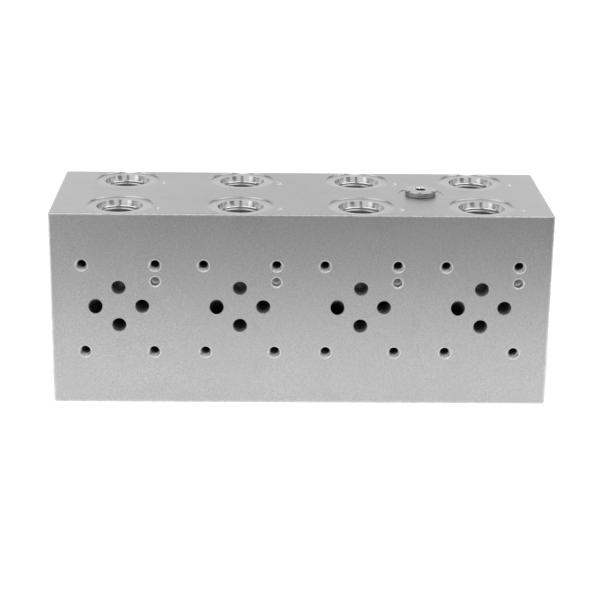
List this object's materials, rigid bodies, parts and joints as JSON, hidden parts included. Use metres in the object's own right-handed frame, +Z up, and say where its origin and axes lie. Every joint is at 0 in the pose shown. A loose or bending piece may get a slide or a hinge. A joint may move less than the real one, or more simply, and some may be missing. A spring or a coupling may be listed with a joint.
{
  "type": "hydraulic manifold block",
  "caption": "Aluminium bar manifold for hydraulic directional valves: bolt-on valve stations on the front, O-ring boss work ports on top, and a plugged gauge port.",
  "frame": {"origin": "middle of the bottom face", "axes": "+X along the block to the right as seen from the valve side, +Y from the valve face to the back, +Z up, with the work ports on top"},
  "size_m": [0.2232, 0.0746, 0.0915],
  "materials": {
    "aluminium": "tumbled matte, with machined bright ports",
    "plated_steel": "zinc plated",
    "rubber": "nitrile, matte"
  },
  "bodies": {
    "root": {"manifold_body": "aluminium", "gauge_port_plug": "plated_steel", "gauge_port_seal": "rubber"}
  },
  "joints": []
}
